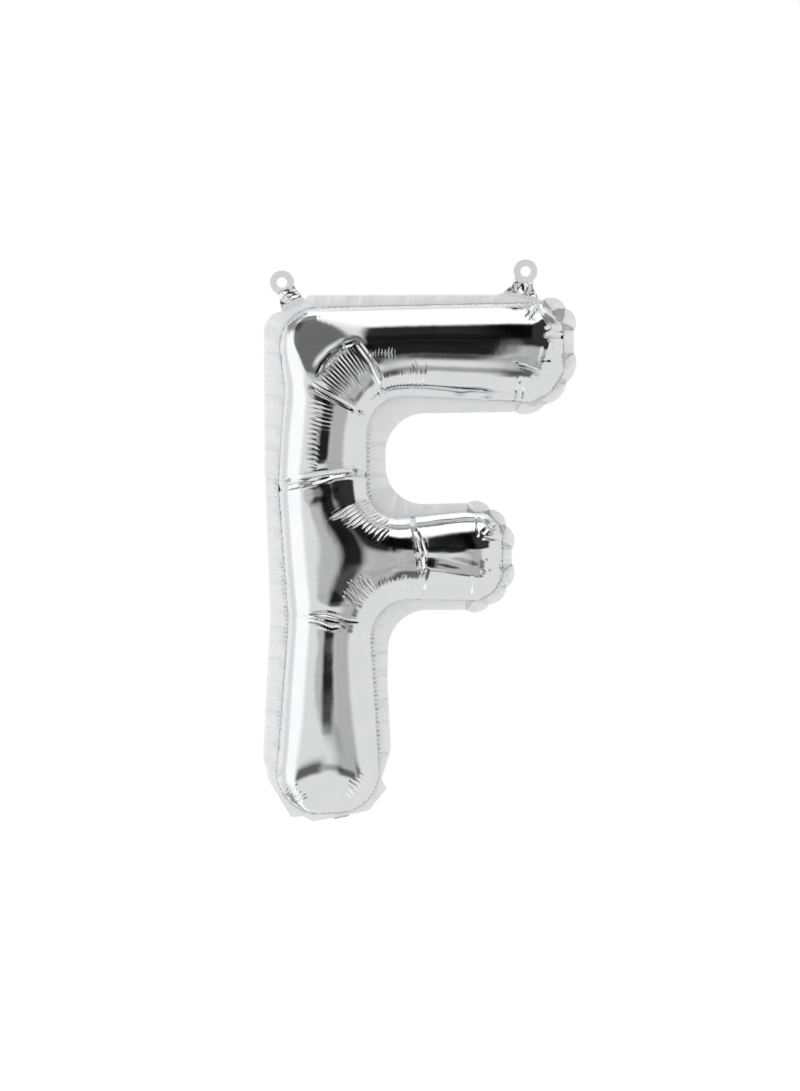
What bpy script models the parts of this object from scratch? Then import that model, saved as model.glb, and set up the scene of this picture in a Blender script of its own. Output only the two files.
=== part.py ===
"""Silver letter F foil balloon, air filled, hanging by its two punched tabs.

Metres, +Z up, +X to the right as the letter is read, the front film towards -Y.
The origin is halfway between the centres of the two tab holes, in the plane of the seam.
"""
import math

import bmesh
import bpy
import numpy as np
from mathutils import Matrix, Vector
from mathutils.geometry import delaunay_2d_cdt

MM = 0.001

MARGIN = 0.8 * MM             # two plies of film, sealed together
SEAT = 0.3 * MM               # space left between pieces that lie on each other
FOLD_GAP = 0.8 * MM           # bare strip at each fold line
ROUNDNESS = 0.82              # depth of a filled tube of film over its width
FULLEST = 27.5 * MM           # film doesn't stretch, so where tubes meet it stands hardly deeper than in them
LIP = 1.0 * MM                # straight stretch of film where it leaves the seal
MESH_STEP = 6.0 * MM          # spacing of points inside a film
RIM_STEP = 3.6 * MM           # spacing of points along an outline
RIM_ROWS = (0.9 * MM, 3.0 * MM)   # rows of points just inside the weld line

HOLE_RADIUS = 3.5 * MM
HEAD_RADIUS = 8.2 * MM
TAB_NECK = 6.5 * MM           # height at which a tab has drawn in to its neck

# side: base x, base z, lean to the right in degrees, base half width, neck half width, base to hole, in mm
TABS = {
    "left": (-75.4, -18.7, -26.6, 8.6, 6.9, 16.7),
    "right": (79.8, -12.2, 10.8, 12.0, 7.2, 16.3),
}

TAIL_WIDTH = 11.0 * MM
TAIL_LENGTH = 18.0 * MM
TAIL_MOUTH_RADIUS = 3.3 * MM
TAIL_BACK = 84.0              # degrees back from upright, as it lies folded behind the stem

SILVER = (0.86, 0.86, 0.87, 1.0)

# The line where the two films leave the seal, clockwise from the top left: x, z and corner radius
# in mm, and how many rounded lobes the pleats make along that corner.
WELD_LINE = [
    (-88.0, -21.5, 26, 0),
    (108.5, -17.0, 23, 2),
    (108.5, -86.0, 28, 3),
    (14.5, -81.5, 40, 0),
    (-25.5, -80.5, 26, 0),
    (-25.5, -166.5, 22, 0),
    (42.0, -160.0, 20, 0),
    (67.0, -161.0, 18, 2),
    (67.0, -220.0, 22, 3),
    (-24.5, -218.5, 27, 0),
    (-15.5, -363.5, 30, 1),
    (-88.5, -366.0, 30, 1),
    (-78.5, -233.0, 90, 0),
    (-85.5, -141.5, 50, 0),
    (-80.5, -77.0, 50, 0),
]
WELD_LOBE = 0.9 * MM

# The cut edge of the sealed margin, with the same columns. The ends of each flap's foot are put in between.
LEFT_EDGE = [(-95.4, -26.0, 14, 0)]
TOP_EDGE = [(-64.5, -12.0, 4, 0), (63.5, -11.6, 4, 0)]
RIGHT_EDGE = [
    (115.9, -15.5, 21, 2),
    (115.9, -91.2, 40, 3),
    (-12.4, -92.9, 27, 0),
    (-12.4, -155.2, 26, 0),
    (41.0, -153.8, 0, 0),
    (73.7, -154.5, 31, 3),
    (73.7, -226.6, 31, 3),
    (-10.0, -226.6, 27, 0),
    (-11.1, -274.0, 60, 0),
    (-8.7, -320.5, 10, 0),
    (-14.8, -341.6, 0, 0),
    (-11.4, -348.4, 0, 0),
    (-23.6, -363.4, 6, 0),
]
LOWER_LEFT_EDGE = [
    (-61.8, -371.0, 4, 0),
    (-68.6, -367.2, 0, 0),
    (-76.7, -368.2, 0, 0),
    (-92.6, -342.0, 12, 0),
    (-93.7, -334.1, 0, 0),
    (-95.8, -326.6, 8, 0),
    (-91.0, -230.0, 90, 0),
    (-94.6, -130.0, 90, 0),
]
MARGIN_LOBE = 2.4 * MM

# Main creases across the films: x and z of both ends in mm, share of the depth lost, half width in mm.
CREASES = [
    (-96.0, -147.0, -16.0, -133.0, 0.14, 4.0),
    (-74.0, -229.0, -24.0, -238.0, 0.10, 4.0),
    (8.0, -152.0, 10.0, -226.0, 0.05, 4.0),
    (97.0, -38.0, 108.0, -44.0, 0.22, 4.0),
]

# Where a film stands fuller or flatter than a round tube: x, z and radius in mm, and the share of height added.
# The gathered ends are blunt, and beside the middle arm the stem's ridge runs nearer to the arm.
SWELLS = [
    (-66.0, -190.0, 22.0, -0.07),
    (-32.0, -190.0, 20.0, 0.035),
    (56.0, -190.0, 13.0, 0.16),
    (57.0, -174.0, 10.0, 0.14),
    (57.0, -206.0, 10.0, 0.14),
    (97.0, -52.0, 15.0, 0.12),
    (95.0, -32.0, 10.0, 0.12),
    (94.0, -70.0, 10.0, 0.12),
]

# Flat facets that the film is pulled into: x, z and height of one point in mm, rise to the right, rise upwards,
# and how far in mm its meeting with the round film is rounded. The outer side of the elbow, and below the stem.
FACETS = [
    (-79.0, -25.0, 6.5, 0.28, -0.28, 1.0),
    (-52.0, -364.0, 0.3, 0.0, 0.80, 1.8),
]


def clear_scene():
    for obj in list(bpy.data.objects):
        bpy.data.objects.remove(obj)


def film_material(name, roughness):
    """Metallised film, mirror bright where it is drawn tight and duller where it is sealed."""
    material = bpy.data.materials.new(name)
    material.use_nodes = True
    shader = material.node_tree.nodes["Principled BSDF"]
    shader.inputs["Base Color"].default_value = SILVER
    shader.inputs["Metallic"].default_value = 1.0
    shader.inputs["Roughness"].default_value = roughness
    return material


def fold_frame(x, z, lean):
    """Matrix of a fold line: local X along the line, local Y away from the letter, local Z to the front."""
    lean = math.radians(lean)
    along = Vector((math.cos(lean), 0, -math.sin(lean)))
    away = Vector((math.sin(lean), 0, math.cos(lean)))
    frame = Matrix((along, away, along.cross(away))).transposed().to_4x4()
    frame.translation = Vector((x, 0, z)) * MM
    return frame


def tail_frame():
    """The filling tail folds from the middle of the straight stretch below the stem."""
    right, left = RIGHT_EDGE[-1], LOWER_LEFT_EDGE[0]
    slope = math.degrees(math.atan2(right[1] - left[1], right[0] - left[0]))
    frame = fold_frame((right[0] + left[0]) / 2, (right[1] + left[1]) / 2, 180 - slope)
    drop = frame.to_3x3() @ Vector((0, FOLD_GAP, 0))
    frame.translation += drop
    return frame


def foot(side):
    """The straight stretch of the margin's edge that a tab folds from, as two corners of its outline."""
    x, z, lean, half, *_ = TABS[side]
    frame = fold_frame(x, z, lean)
    ends = [frame @ Vector((end * (half + 0.5) * MM, -FOLD_GAP / 2, 0)) for end in (-1, 1)]
    return [(end.x / MM, end.z / MM, 0, 0) for end in ends]


def margin_table():
    return [*LEFT_EDGE, *foot("left"), *TOP_EDGE, *foot("right"), *RIGHT_EDGE, *LOWER_LEFT_EDGE]


def corner_arc(before, corner, after, radius, lobes, lobe_height):
    """Points round one corner of an outline, with its lobes standing out between the pleats."""
    back, ahead = (before - corner).normalized(), (after - corner).normalized()
    half_angle = back.angle(ahead) / 2
    centre = corner + (back + ahead).normalized() * radius / math.sin(half_angle)
    reach = radius / math.tan(half_angle)
    first, last = corner + back * reach - centre, corner + ahead * reach - centre
    start = math.atan2(first.y, first.x)
    sweep = (math.atan2(last.y, last.x) - start + math.pi) % (2 * math.pi) - math.pi
    count = max(2, round(abs(sweep) * radius / RIM_STEP), 5 * lobes)
    points = []
    for k in range(count + 1):
        swell = abs(math.sin(math.pi * lobes * k / count)) ** 0.7 * lobe_height if lobes else 0.0
        angle = start + sweep * k / count
        points.append(centre + Vector((math.cos(angle), math.sin(angle))) * (radius + swell))
    return points


def outline(table, lobe_height):
    """Closed outline through a table of corners, with points along its straight stretches."""
    corners = [Vector((x, z)) * MM for x, z, _, _ in table]
    points = []
    for k, (_, _, radius, lobes) in enumerate(table):
        if radius:
            after = corners[(k + 1) % len(corners)]
            points += corner_arc(corners[k - 1], corners[k], after, radius * MM, lobes, lobe_height)
        else:
            points.append(corners[k])
    filled = []
    for here, there in zip(points, points[1:] + points[:1]):
        gap = (there - here).length
        pieces = max(1, round(gap / (1.6 * RIM_STEP))) if gap > RIM_STEP / 4 else 0
        filled += [here.lerp(there, k / pieces) for k in range(pieces)]
    return filled


def moved_outwards(points, distance):
    """The same outline, moved along its outward normal."""
    moved = []
    for before, here, after in zip(points[-1:] + points, points, points[1:] + points[:1]):
        along = (after - before).normalized()
        moved.append(here + Vector((-along.y, along.x)) * distance)
    return moved


def distance_to(points, ends):
    """Distance of each point from the nearest of the given segments."""
    nearest = np.full(len(points), np.inf)
    for a, b in ends:
        a, run = np.array(a), np.array(b) - np.array(a)
        share = np.clip((points - a) @ run / (run @ run), 0, 1)
        nearest = np.minimum(nearest, np.linalg.norm(points - a - share[:, None] * run, axis=1))
    return nearest


def inside(points, rim):
    """Which points lie inside a closed outline, by counting the edges to the right of each."""
    found = np.zeros(len(points), bool)
    for a, b in zip(rim, rim[1:] + rim[:1]):
        if a.y == b.y:
            continue
        level = (a.y > points[:, 1]) != (b.y > points[:, 1])
        found ^= level & (points[:, 0] < a.x + (b.x - a.x) * (points[:, 1] - a.y) / (b.y - a.y))
    return found


def lattice(rim, step):
    """Evenly spaced points in rows over the box of an outline."""
    low = np.min(rim, axis=0)
    high = np.max(rim, axis=0)
    rows = []
    for k, z in enumerate(np.arange(low[1], high[1], step * math.sqrt(3) / 2)):
        x = np.arange(low[0] + step / 2 * (k % 2), high[0], step)
        rows.append(np.stack([x, np.full_like(x, z)], axis=1))
    return np.concatenate(rows)


def film_points(rim):
    """Points inside the weld line: rows that follow it, lines along the creases, and a lattice."""
    edges = list(zip(rim, rim[1:] + rim[:1]))
    points = np.empty((0, 2))
    for row in RIM_ROWS:
        points = np.concatenate([points, np.array(moved_outwards(rim, -row))])
    for x0, z0, x1, z1, _, half in CREASES:
        ends = np.array([(x0, z0), (x1, z1)]) * MM
        run = ends[1] - ends[0]
        side = np.array([-run[1], run[0]]) / np.linalg.norm(run) * half * 0.8 * MM
        for share in np.arange(0, 1.001, 5.0 * MM / np.linalg.norm(run)):
            row = ends[0] + run * share + np.outer((-1, 0, 1), side)
            clear = inside(row, rim) & (distance_to(row, edges) > RIM_ROWS[-1] + 1.5 * MM)
            points = np.concatenate([points, row[clear]])
    grid = lattice(rim, MESH_STEP)
    grid = grid[inside(grid, rim) & (distance_to(grid, edges) > RIM_ROWS[-1] + 0.4 * MESH_STEP)]
    apart = np.linalg.norm(grid[:, None] - points[None], axis=2).min(axis=1)
    return np.concatenate([points, grid[apart > 0.55 * MESH_STEP]])


def swelling(points, triangles, on_rim):
    """How high a film stands over each point: a filled tube of it has a round section."""
    corners = points[triangles]
    weights = np.zeros((len(points), len(points)))
    load = np.zeros(len(points))
    for k in range(3):
        tip, a, b = corners[:, k], corners[:, k - 2], corners[:, k - 1]
        u, v = a - tip, b - tip
        cross = np.abs(u[:, 0] * v[:, 1] - u[:, 1] * v[:, 0])
        cotangent = (u * v).sum(axis=1) / cross / 2
        np.add.at(weights, (triangles[:, k - 2], triangles[:, k - 1]), cotangent)
        np.add.at(weights, (triangles[:, k - 1], triangles[:, k - 2]), cotangent)
        np.add.at(load, triangles[:, k], cross / 6)
    system = np.diag(weights.sum(axis=1)) - weights
    free = ~on_rim
    sag = np.zeros(len(points))
    sag[free] = np.linalg.solve(system[np.ix_(free, free)], load[free])
    height = ROUNDNESS * np.sqrt(2 * np.maximum(sag, 0))
    return height / (1 + (height / FULLEST) ** 8) ** (1 / 8)


def shaped(points, height):
    """Height with the fuller and flatter places, the facets and the main creases."""
    for x, z, radius, gain in SWELLS:
        apart = np.linalg.norm(points - np.array((x, z)) * MM, axis=1) / (radius * MM)
        height = height * (1 + gain * np.exp(-(apart ** 2)))
    for x, z, level, right, up, soft in FACETS:
        plane = level * MM + (points[:, 0] - x * MM) * right + (points[:, 1] - z * MM) * up
        soft *= MM
        lower = -soft * np.log(np.exp(-height / soft) + np.exp(-plane / soft))
        height = np.where(height > 0, np.maximum(lower, 0), height)
    for x0, z0, x1, z1, loss, half in CREASES:
        ends = [(Vector((x0, z0)) * MM, Vector((x1, z1)) * MM)]
        height = height * (1 - loss * np.exp(-((distance_to(points, ends) / (half * MM)) ** 2) * 2))
    return height


def film(name, facing, collection, material):
    """One film, filled solid behind: the flat back lies on the seam's plane. Facing is -1 in front, 1 behind."""
    rim = outline(WELD_LINE, WELD_LOBE)
    inner = [Vector(point) for point in film_points(rim)]
    loop = [(k, (k + 1) % len(rim)) for k in range(len(rim))]
    flat, _, triangles, *_ = delaunay_2d_cdt(rim + inner, loop, [], 1, 1e-7)
    points = np.array(flat)
    on_rim = distance_to(points, list(zip(rim, rim[1:] + rim[:1]))) < 1e-6
    height = shaped(points, swelling(points, np.array(triangles), on_rim))
    bm = bmesh.new()
    skin = [bm.verts.new((x, facing * (LIP + h), z)) for (x, z), h in zip(points, height)]
    for corners in triangles:
        bm.faces.new([skin[k] for k in corners])
    edges = [edge for edge in bm.edges if edge.is_boundary]
    walls = bmesh.ops.extrude_edge_only(bm, edges=edges)["geom"]
    foot_points = [v for v in walls if isinstance(v, bmesh.types.BMVert)]
    for vert in foot_points:
        vert.co.y = facing * SEAT / 2
    foot_edges = [e for e in walls if isinstance(e, bmesh.types.BMEdge)]
    bmesh.ops.contextual_create(bm, geom=foot_edges)
    bmesh.ops.triangulate(bm, faces=[face for face in bm.faces if len(face.verts) > 4])
    bmesh.ops.recalc_face_normals(bm, faces=bm.faces)
    mesh = bpy.data.meshes.new(name)
    bm.to_mesh(mesh)
    bm.free()
    mesh.shade_smooth()
    return place(bpy.data.objects.new(name, mesh), collection, material)


def sheet(name, outlines, thickness):
    """A flat piece of film as a 2D curve: the first outline is its edge and any others are holes."""
    curve = bpy.data.curves.new(name, "CURVE")
    curve.dimensions = "2D"
    curve.fill_mode = "BOTH"
    curve.extrude = thickness / 2
    for points in outlines:
        spline = curve.splines.new("POLY")
        spline.points.add(len(points) - 1)
        for item, point in zip(spline.points, points):
            item.co = (point[0], point[1], 0, 1)
        spline.use_cyclic_u = True
    return bpy.data.objects.new(name, curve)


def circle(radius, height, start=0.0, sweep=360.0, count=20):
    """Points of an arc round a point at this height above the fold, anticlockwise from start."""
    steps = count if sweep == 360.0 else count + 1
    angles = [math.radians(start + sweep * k / count) for k in range(steps)]
    return [(radius * math.cos(angle), height + radius * math.sin(angle)) for angle in angles]


def place(obj, collection, material):
    collection.objects.link(obj)
    obj.data.materials.append(material)
    return obj


def seam_margin(collection, material):
    """The sealed margin round the weld line, as far as its cut edge."""
    edge = outline(margin_table(), MARGIN_LOBE)
    opening = moved_outwards(outline(WELD_LINE, WELD_LOBE), SEAT)
    margin = place(sheet("seam_margin", [edge, opening], MARGIN), collection, material)
    margin.rotation_euler.x = math.radians(90)
    return margin


def hanging_tab(side, collection, material):
    """A tab of sealed film with its punched hole, standing on the margin's fold line."""
    x, z, lean, base_half, neck_half, reach = TABS[side]
    head = circle(HEAD_RADIUS, reach * MM, -40.0, 260.0)
    edge = [(-neck_half * MM, TAB_NECK), (-base_half * MM, FOLD_GAP / 2)]
    edge += [(base_half * MM, FOLD_GAP / 2), (neck_half * MM, TAB_NECK)]
    tab = sheet(f"hanging_tab_{side}", [edge + head, circle(HOLE_RADIUS, reach * MM)], MARGIN)
    tab.matrix_world = fold_frame(x, z, lean)
    return place(tab, collection, material)


def filling_tail(collection, material):
    """The tail with the self-sealing valve, where a straw goes in, folded back behind the stem."""
    half = TAIL_WIDTH / 2
    end = circle(half, TAIL_LENGTH - half, 0.0, 180.0)
    edge = [(-half, FOLD_GAP / 2), (half, FOLD_GAP / 2)] + end
    mouth = circle(TAIL_MOUTH_RADIUS, TAIL_LENGTH - half)
    tail = sheet("filling_tail", [edge, mouth], MARGIN)
    tail.matrix_world = tail_frame() @ Matrix.Rotation(math.radians(TAIL_BACK - 180), 4, "X")
    return place(tail, collection, material)


def main():
    clear_scene()
    letter = bpy.data.collections.new("letter_foil_balloon")
    bpy.context.scene.collection.children.link(letter)
    film("front_film", -1, letter, film_material("front_silver", 0.08))
    film("back_film", 1, letter, film_material("back_silver", 0.08))
    seam_margin(letter, film_material("sealed_silver", 0.18))
    for side in TABS:
        hanging_tab(side, letter, film_material(f"{side}_tab_silver", 0.18))
    filling_tail(letter, film_material("tail_silver", 0.18))


main()
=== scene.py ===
"""Looks of the silver letter foil balloon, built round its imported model: metres, +Z up, front towards -Y."""

import math

import bmesh
import bpy
import numpy as np
from mathutils import Matrix, Vector
from mathutils.geometry import delaunay_2d_cdt
from mathutils.bvhtree import BVHTree
from mathutils.kdtree import KDTree


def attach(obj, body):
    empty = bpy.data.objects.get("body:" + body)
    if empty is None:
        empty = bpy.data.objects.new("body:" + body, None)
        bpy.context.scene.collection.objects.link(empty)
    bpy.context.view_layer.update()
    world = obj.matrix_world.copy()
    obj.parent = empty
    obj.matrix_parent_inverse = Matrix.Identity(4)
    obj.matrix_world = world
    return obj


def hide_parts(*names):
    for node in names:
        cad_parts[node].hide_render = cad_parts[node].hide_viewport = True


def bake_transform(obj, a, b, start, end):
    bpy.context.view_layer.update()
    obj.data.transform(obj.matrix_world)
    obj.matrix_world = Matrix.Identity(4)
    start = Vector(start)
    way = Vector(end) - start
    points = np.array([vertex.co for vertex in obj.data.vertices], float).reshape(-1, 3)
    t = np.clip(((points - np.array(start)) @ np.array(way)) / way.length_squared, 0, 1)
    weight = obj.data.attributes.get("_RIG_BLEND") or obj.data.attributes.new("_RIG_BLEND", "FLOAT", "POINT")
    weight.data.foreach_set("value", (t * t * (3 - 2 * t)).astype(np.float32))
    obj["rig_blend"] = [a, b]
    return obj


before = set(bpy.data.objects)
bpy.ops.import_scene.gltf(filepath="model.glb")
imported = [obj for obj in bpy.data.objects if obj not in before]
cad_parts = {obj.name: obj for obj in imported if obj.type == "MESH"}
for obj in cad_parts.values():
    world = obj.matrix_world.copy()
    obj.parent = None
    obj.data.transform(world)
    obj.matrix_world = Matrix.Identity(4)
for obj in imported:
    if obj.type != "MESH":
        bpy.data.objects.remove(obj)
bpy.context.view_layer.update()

MM = 0.001

# Weld line
# The two films of the letter are sealed to each other along this line, and part from it as the letter fills.
# Round the ends the gathered film pulls the line into small lobes. Corners are x, z, radius in mm and lobes.
WELD_LINE = [
    (-88, -21.5, 26, 0),
    (108.5, -17, 23, 2),
    (108.5, -86, 28, 3),
    (14.5, -81.5, 40, 0),
    (-25.5, -80.5, 26, 0),
    (-25.5, -166.5, 22, 0),
    (42, -160, 20, 0),
    (67, -161, 18, 2),
    (67, -220, 22, 3),
    (-24.5, -218.5, 27, 0),
    (-15.5, -363.5, 30, 1),
    (-88.5, -366, 30, 1),
    (-78.5, -233, 90, 0),
    (-85.5, -141.5, 50, 0),
    (-80.5, -77, 50, 0),
]
WELD_LOBE = 0.9 * MM
LOBE_SHAPE = 0.7  # power of a lobe's sine: under one it is full, with sharp notches
LOBE_POINTS = 5  # the fewest points on a lobe
LINE_STEP = 1.0 * MM
NORMAL_SPAN = 3  # an outline's direction is taken over this many points to each side
RIM_CLEARANCE = 0.62  # how near a sheet's inner points come to its rims, in steps
TRIANGLES_INSIDE = 1  # the triangulation leaves out what lies outside the rims
MERGED_UNDER = 1e-7
TOUCHING = 1e-6


def corner_arc(before, corner, after, radius, lobes, lobe_height):
    """Points round one corner of an outline, and the place of each on its lobe (-1 where there is none)."""
    back, ahead = (before - corner).normalized(), (after - corner).normalized()
    half_angle = back.angle(ahead) / 2
    centre = corner + (back + ahead).normalized() * radius / math.sin(half_angle)
    reach = radius / math.tan(half_angle)
    first, last = corner + back * reach - centre, corner + ahead * reach - centre
    start = math.atan2(first.y, first.x)
    sweep = (math.atan2(last.y, last.x) - start + math.pi) % (2 * math.pi) - math.pi
    count = max(2, round(abs(sweep) * radius / LINE_STEP), LOBE_POINTS * lobes)
    points, places = [], []
    for k in range(count + 1):
        swell = abs(math.sin(math.pi * lobes * k / count)) ** LOBE_SHAPE * lobe_height if lobes else 0.0
        angle = start + sweep * k / count
        points.append(centre + Vector((math.cos(angle), math.sin(angle))) * (radius + swell))
        places.append(lobes * k / count % 1 if lobes else -1.0)
    return points, places


def outline(table, lobe_height):
    """Closed outline through a table of corners: its points, and each point's place on its lobe."""
    corners = [Vector((x, z)) * MM for x, z, *_ in table]
    points, places = [], []
    for k, (_, _, radius, lobes) in enumerate(table):
        if radius:
            after = corners[(k + 1) % len(corners)]
            arc = corner_arc(corners[k - 1], corners[k], after, radius * MM, lobes, lobe_height)
            points += arc[0]
            places += arc[1]
        else:
            points.append(corners[k])
            places.append(-1.0)
    line, line_places = [], []
    for k, here in enumerate(points):
        there = points[(k + 1) % len(points)]
        gap = (there - here).length
        pieces = max(1, round(gap / LINE_STEP)) if gap > LINE_STEP / 4 else 0
        line += [here.lerp(there, j / pieces) for j in range(pieces)]
        if pieces:
            line_places += [places[k]] + [-1.0] * (pieces - 1)
    return np.array(line), np.array(line_places)


def outward(line):
    """Unit normals of a clockwise outline, pointing out of it."""
    along = np.roll(line, -NORMAL_SPAN, 0) - np.roll(line, NORMAL_SPAN, 0)
    along /= np.linalg.norm(along, axis=1)[:, None]
    return np.stack([-along[:, 1], along[:, 0]], 1)


def resampled(line, by, count):
    """An outline's columns at even steps along another with the same number of points."""
    columns, guide = np.vstack([line, line[:1]]), np.vstack([by, by[:1]])
    length = np.concatenate([[0], np.cumsum(np.linalg.norm(np.diff(guide, axis=0), axis=1))])
    at = np.linspace(0, length[-1], count, endpoint=False)
    return np.stack([np.interp(at, length, column) for column in columns.T], 1)


def length_of(line):
    return np.linalg.norm(line - np.roll(line, 1, 0), axis=1).sum()


def inside(points, rim):
    """Which points lie inside a closed outline, by counting the edges to the right of each."""
    found = np.zeros(len(points), bool)
    for a, b in zip(rim, np.roll(rim, -1, 0)):
        if a[1] == b[1]:
            continue
        level = (a[1] > points[:, 1]) != (b[1] > points[:, 1])
        found ^= level & (points[:, 0] < a[0] + (b[0] - a[0]) * (points[:, 1] - a[1]) / (b[1] - a[1]))
    return found


def nearest(points, line):
    """For each point, the index of the nearest point of a line, and its distance."""
    tree = KDTree(len(line))
    for k, place in enumerate(line):
        tree.insert((place[0], place[1], 0), k)
    tree.balance()
    found = [tree.find((point[0], point[1], 0)) for point in points]
    return np.array([item[1] for item in found]), np.array([item[2] for item in found])


def cut_foil(rims, step):
    """The mesh of a flat sheet of foil in x and z, cut along closed outlines: its rim, then its holes."""
    low, high = rims[0].min(0), rims[0].max(0)
    rows = []
    for k, z in enumerate(np.arange(low[1], high[1], step * math.sqrt(3) / 2)):
        x = np.arange(low[0] + step / 2 * (k % 2), high[0], step)
        rows.append(np.stack([x, np.full_like(x, z)], 1))
    grid = np.concatenate(rows)
    kept = inside(grid, rims[0])
    for hole in rims[1:]:
        kept &= ~inside(grid, hole)
    grid = grid[kept]
    rim = np.concatenate(rims)
    grid = grid[nearest(grid, rim)[1] > RIM_CLEARANCE * step]
    loops, first = [], 0
    for line in rims:
        loops += [(first + k, first + (k + 1) % len(line)) for k in range(len(line))]
        first += len(line)
    corners = [Vector(p) for p in [*rim, *grid]]
    points, _, faces, *_ = delaunay_2d_cdt(corners, loops, [], TRIANGLES_INSIDE, MERGED_UNDER)
    flat = np.array(points)
    centres = np.array([flat[list(face)].mean(0) for face in faces])
    solid = np.ones(len(faces), bool)
    for hole in rims[1:]:
        solid &= ~inside(centres, hole)
    bm = bmesh.new()
    verts = [bm.verts.new((x, 0, z)) for x, z in flat]
    for face, here in zip(faces, solid):
        if here:
            bm.faces.new([verts[k] for k in face])
    bmesh.ops.delete(bm, geom=[v for v in bm.verts if not v.link_faces], context="VERTS")
    bm.normal_update()
    if sum(face.normal.y for face in bm.faces) > 0:
        bmesh.ops.reverse_faces(bm, faces=bm.faces)
    return bm


def coordinates(bm):
    return np.array([v.co for v in bm.verts])


def set_coordinates(bm, places):
    for vert, place in zip(bm.verts, places):
        vert.co = place
    bm.normal_update()


def object_of(bm, name, material):
    """A finished piece from its bmesh, shaded smooth, with its place in its mesh."""
    mesh = bpy.data.meshes.new(name)
    bm.to_mesh(mesh)
    bm.free()
    mesh.shade_smooth()
    mesh.materials.append(material)
    piece = bpy.data.objects.new(name, mesh)
    bpy.context.scene.collection.objects.link(piece)
    return piece


# Silver film
# Metallised film is a mirror where pressure draws it tight. It keeps faint lines from the roll it came from
# and a slow waviness, and it is duller and whiter where the hot bar pressed the two films together.
CLOUD_SCALE = 60.0
CLOUD_RANGE = (0.3, 0.7)  # the stretch of the cloudiness over which colour and shine change
CLOUD_TINTS = ((-0.03, -0.025, -0.015), (0.01, 0.01, 0.015))


def foil_relief():
    """Height of the film's own small waves and roll lines, and cloudiness of its shine."""
    group = bpy.data.node_groups.new("foil_relief", "ShaderNodeTree")
    for name in ("Wave Scale", "Wave Height", "Roll Lines", "Cloud Scale"):
        group.interface.new_socket(name, in_out="INPUT", socket_type="NodeSocketFloat")
    group.interface.new_socket("Height", in_out="OUTPUT", socket_type="NodeSocketFloat")
    group.interface.new_socket("Cloud", in_out="OUTPUT", socket_type="NodeSocketFloat")
    nodes, links = group.nodes, group.links
    given, out = nodes.new("NodeGroupInput"), nodes.new("NodeGroupOutput")
    where = nodes.new("ShaderNodeTexCoord")
    waves = nodes.new("ShaderNodeTexNoise")
    waves.inputs["Detail"].default_value = 1.0
    stretch = nodes.new("ShaderNodeMapping")
    stretch.inputs["Scale"].default_value = (1.0, 1.0, 0.03)
    lines = nodes.new("ShaderNodeTexNoise")
    lines.inputs["Scale"].default_value = 900.0
    lines.inputs["Detail"].default_value = 2.0
    cloud = nodes.new("ShaderNodeTexNoise")
    cloud.inputs["Detail"].default_value = 3.0
    for node in (waves, stretch, cloud):
        links.new(where.outputs["Object"], node.inputs["Vector"])
    links.new(stretch.outputs["Vector"], lines.inputs["Vector"])
    links.new(given.outputs["Wave Scale"], waves.inputs["Scale"])
    links.new(given.outputs["Cloud Scale"], cloud.inputs["Scale"])
    tall = nodes.new("ShaderNodeMath")
    tall.operation = "MULTIPLY"
    links.new(waves.outputs["Fac"], tall.inputs[0])
    links.new(given.outputs["Wave Height"], tall.inputs[1])
    fine = nodes.new("ShaderNodeMath")
    fine.operation = "MULTIPLY_ADD"
    links.new(lines.outputs["Fac"], fine.inputs[0])
    links.new(given.outputs["Roll Lines"], fine.inputs[1])
    links.new(tall.outputs[0], fine.inputs[2])
    links.new(fine.outputs[0], out.inputs["Height"])
    links.new(cloud.outputs["Fac"], out.inputs["Cloud"])
    return group


relief_group = foil_relief()


def silver(name, shine, wave_scale, wave_height, roll_lines, whiteness=0.9, metal=1.0):
    """One finish of the silver film. Shine is the lowest and highest roughness; heights are in metres."""
    material = bpy.data.materials.new(name)
    material.use_nodes = True
    nodes, links = material.node_tree.nodes, material.node_tree.links
    shader = nodes["Principled BSDF"]
    shader.inputs["Metallic"].default_value = metal
    relief = nodes.new("ShaderNodeGroup")
    relief.node_tree = relief_group
    relief.inputs["Wave Scale"].default_value = wave_scale
    relief.inputs["Wave Height"].default_value = wave_height
    relief.inputs["Roll Lines"].default_value = roll_lines
    relief.inputs["Cloud Scale"].default_value = CLOUD_SCALE
    tint = nodes.new("ShaderNodeValToRGB")
    for stop, position, tints in zip(tint.color_ramp.elements, CLOUD_RANGE, CLOUD_TINTS):
        stop.position = position
        stop.color = [whiteness + change for change in tints] + [1]
    dull = nodes.new("ShaderNodeMapRange")
    dull.inputs["From Min"].default_value, dull.inputs["From Max"].default_value = CLOUD_RANGE
    dull.inputs["To Min"].default_value, dull.inputs["To Max"].default_value = shine
    bump = nodes.new("ShaderNodeBump")
    bump.inputs["Distance"].default_value = 1.0
    links.new(relief.outputs["Cloud"], tint.inputs["Fac"])
    links.new(relief.outputs["Cloud"], dull.inputs["Value"])
    links.new(relief.outputs["Height"], bump.inputs["Height"])
    links.new(tint.outputs["Color"], shader.inputs["Base Color"])
    links.new(dull.outputs["Result"], shader.inputs["Roughness"])
    links.new(bump.outputs["Normal"], shader.inputs["Normal"])
    return material


front_silver = silver("front_silver", (0.045, 0.07), 120.0, 0.00005, 0.000006)
back_silver = silver("back_silver", (0.045, 0.07), 120.0, 0.00005, 0.000006)
sealed_silver = silver("sealed_silver", (0.3, 0.4), 400.0, 0.00004, 0.00001, whiteness=0.97, metal=0.27)
tab_silver = silver("tab_silver", (0.3, 0.4), 400.0, 0.00005, 0.00001, whiteness=0.95, metal=0.36)

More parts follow.
